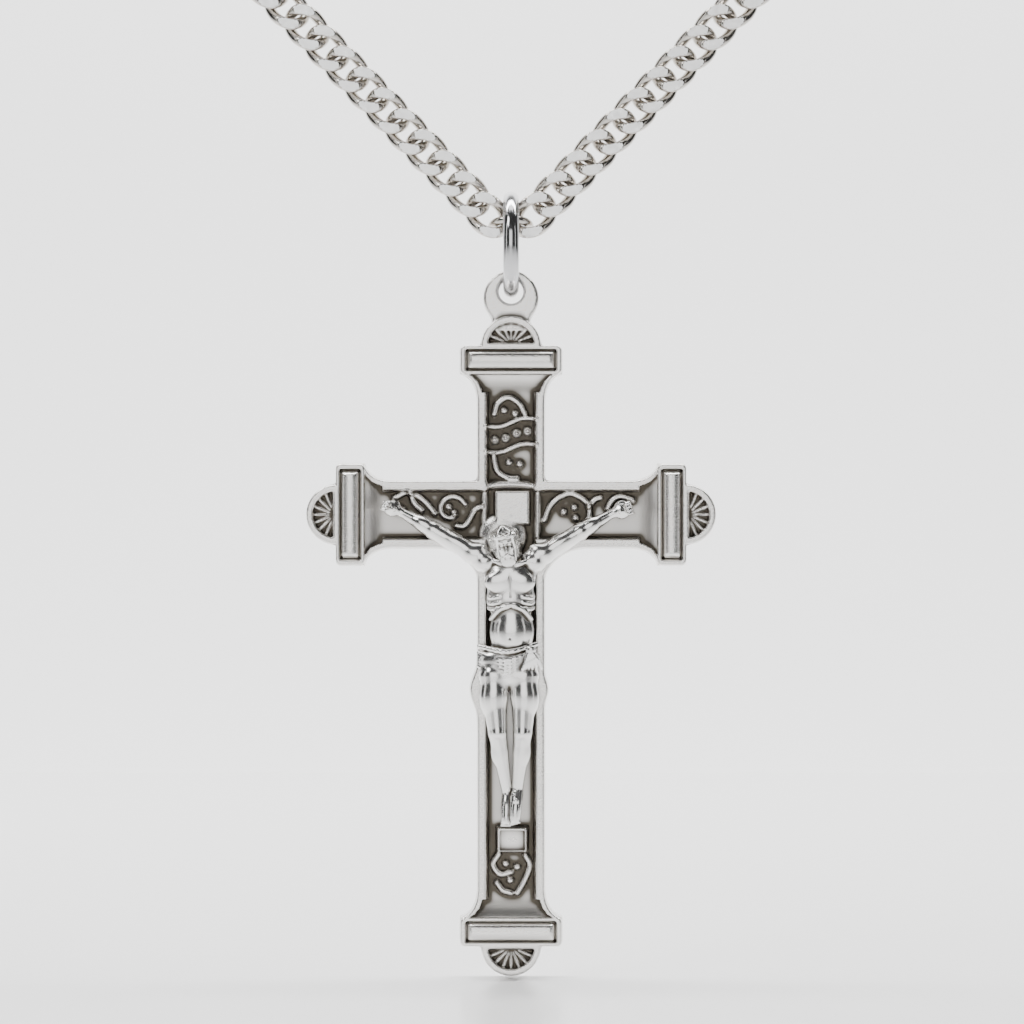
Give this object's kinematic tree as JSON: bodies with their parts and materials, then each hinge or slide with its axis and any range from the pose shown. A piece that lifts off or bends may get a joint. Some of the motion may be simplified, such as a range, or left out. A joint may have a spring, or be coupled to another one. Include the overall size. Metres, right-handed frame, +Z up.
{
  "type": "crucifix pendant",
  "caption": "Silver crucifix pendant with an oxidised field, hung by a jump ring on a length of flat-cut curb chain with a clasp.",
  "frame": {"origin": "middle of the chain's bight, where it passes through the jump ring", "axes": "+Z up, +X to the right as the front is seen, the front faces -Y"},
  "size_m": [0.0432, 0.0068, 0.0724],
  "materials": {
    "polished_silver": "polished cast silver",
    "antiqued_silver": "cast silver, polished rims and an oxidised field",
    "chain_silver": "bright, flat-cut",
    "ring_metal": "polished wire"
  },
  "bodies": {
    "chain_middle": {"centre_link": "chain_silver", "left_link_01": "chain_silver", "right_link_01": "chain_silver"},
    "jump_ring": {"jump_ring": "ring_metal"},
    "pendant": {"cross": "antiqued_silver", "corpus": "polished_silver"},
    "left_strand": {"left_link_02": "chain_silver", "left_link_03": "chain_silver", "left_link_04": "chain_silver", "left_link_05": "chain_silver", "left_link_06": "chain_silver", "left_link_07": "chain_silver", "left_link_08": "chain_silver", "left_link_09": "chain_silver", "left_link_10": "chain_silver", "left_link_11": "chain_silver", "left_link_12": "chain_silver"},
    "right_strand": {"right_link_02": "chain_silver", "right_link_03": "chain_silver", "right_link_04": "chain_silver", "right_link_05": "chain_silver", "right_link_06": "chain_silver", "right_link_07": "chain_silver", "right_link_08": "chain_silver", "right_link_09": "chain_silver", "right_link_10": "chain_silver", "right_link_11": "chain_silver", "right_link_12": "chain_silver"},
    "clasp_ring": {"clasp_ring": "chain_silver"},
    "end_ring": {"end_ring": "chain_silver"},
    "clasp": {"clasp_body": "chain_silver", "clasp_rivet": "ring_metal", "clasp_spring": "ring_metal"},
    "clasp_lever": {"clasp_lever": "chain_silver"}
  },
  "joints": [
    {"name": "ring_turn", "type": "hinge", "parent": "chain_middle", "child": "jump_ring", "pos_m": [0, 0, -0.00088], "axis": [1, 0, 0], "range_deg": [-30, 30]},
    {"name": "pendant_swing", "type": "hinge", "parent": "jump_ring", "child": "pendant", "pos_m": [0, 0, -0.00376], "axis": [0, 1, 0], "range_deg": [-30, 30]},
    {"name": "left_bend", "type": "hinge", "parent": "chain_middle", "child": "left_strand", "pos_m": [-0.00212, 0, 0.00164], "axis": [0, 1, 0], "range_deg": [0, 8]},
    {"name": "right_bend", "type": "hinge", "parent": "chain_middle", "child": "right_strand", "pos_m": [0.00212, 0, 0.00164], "axis": [0, -1, 0], "range_deg": [0, 8]},
    {"name": "clasp_ring_turn", "type": "hinge", "parent": "left_strand", "child": "clasp_ring", "pos_m": [-0.01695, 0, 0.017], "axis": [-0.7193, 0, -0.6947], "range_deg": [-20, 20]},
    {"name": "end_ring_turn", "type": "hinge", "parent": "right_strand", "child": "end_ring", "pos_m": [0.01695, 0, 0.017], "axis": [-0.7193, 0, 0.6947], "range_deg": [-20, 20]},
    {"name": "clasp_swing", "type": "hinge", "parent": "clasp_ring", "child": "clasp", "pos_m": [-0.01799, 0, 0.01808], "axis": [0, 1, 0], "range_deg": [-25, 25]},
    {"name": "clasp_lever_open", "type": "hinge", "parent": "clasp", "child": "clasp_lever", "pos_m": [-0.0191, 0, 0.02103], "axis": [0, -1, 0], "range_deg": [0, 22], "stiffness_Nm_per_rad": 0.0002, "springref_deg": -17.19}
  ]
}
